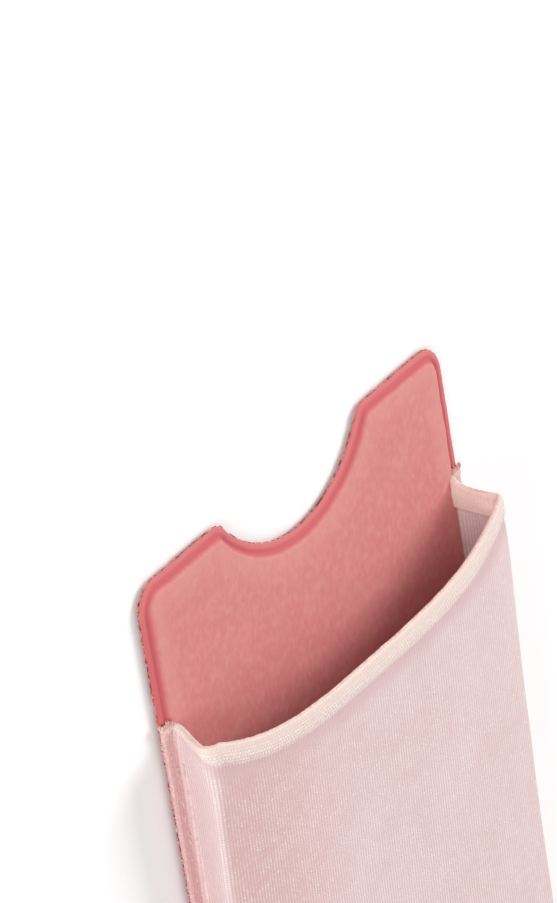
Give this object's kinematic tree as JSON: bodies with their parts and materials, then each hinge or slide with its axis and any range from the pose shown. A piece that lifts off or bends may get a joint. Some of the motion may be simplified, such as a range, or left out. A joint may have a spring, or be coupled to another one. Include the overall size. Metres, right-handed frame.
{
  "type": "stick on phone card holder",
  "caption": "Thin padded fabric card holder for the back of a phone, with an adhesive back, a thumb notch and an open stretch-knit pocket with a folded hem.",
  "frame": {"origin": "middle of the underside of the adhesive sheet, which is the middle of the whole part's base", "axes": "+X across the holder, +Y along it towards the pocket's mouth and the thumb notch, +Z away from the phone"},
  "size_m": [0.056, 0.093, 0.01],
  "materials": {
    "adhesive": "off-white double-sided adhesive sheet, matt",
    "panel_fabric": "coral pink matt fabric over a thin foam, pressed flat at the border",
    "pocket_knit": "pale pink stretch knit with a satin lustre and a warmer folded hem"
  },
  "bodies": {
    "root": {"adhesive_sheet": "adhesive", "back_panel": "panel_fabric", "stretch_pocket": "pocket_knit"}
  },
  "joints": []
}
